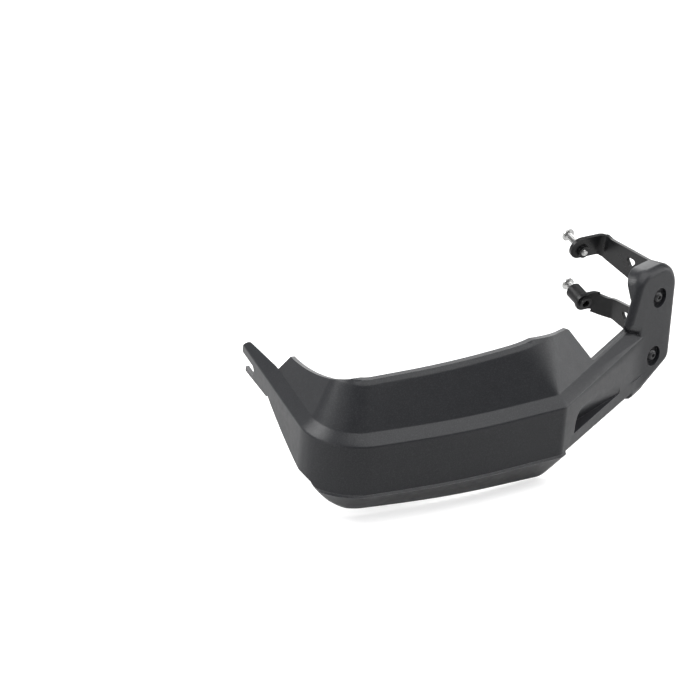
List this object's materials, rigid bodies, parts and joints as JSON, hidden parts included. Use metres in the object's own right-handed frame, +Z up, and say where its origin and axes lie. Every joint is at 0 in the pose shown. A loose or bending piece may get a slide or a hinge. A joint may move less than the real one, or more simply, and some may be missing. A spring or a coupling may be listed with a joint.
{
  "type": "motorcycle hand guard",
  "caption": "Right-hand motorcycle hand guard: moulded wind shield with a folded-back arm, hollow mounting pad and bent strip brackets to the lever clamp, and a forked bar-end tab.",
  "frame": {"origin": "midway between the two clamp screws, on the rear face of the upper bracket's plate", "axes": "+X outboard along the handlebar to the bar end, +Y forward away from the rider, +Z up"},
  "size_m": [0.3808, 0.2022, 0.1264],
  "materials": {
    "shield_plastic": "fine moulded texture, charcoal",
    "bracket_black": "black powder coat",
    "screw_black": "black oxide",
    "nut_zinc": "zinc plate",
    "spacer_black": "satin black",
    "clamp_screw_zinc": "bright zinc plate"
  },
  "bodies": {
    "root": {"shield": "shield_plastic", "upper_bracket": "bracket_black", "lower_bracket": "bracket_black", "upper_shield_screw": "screw_black", "lower_shield_screw": "screw_black", "upper_flange_nut": "nut_zinc", "lower_flange_nut": "nut_zinc", "lower_spacer": "spacer_black", "upper_clamp_screw": "clamp_screw_zinc", "lower_clamp_screw": "clamp_screw_zinc"}
  },
  "joints": []
}
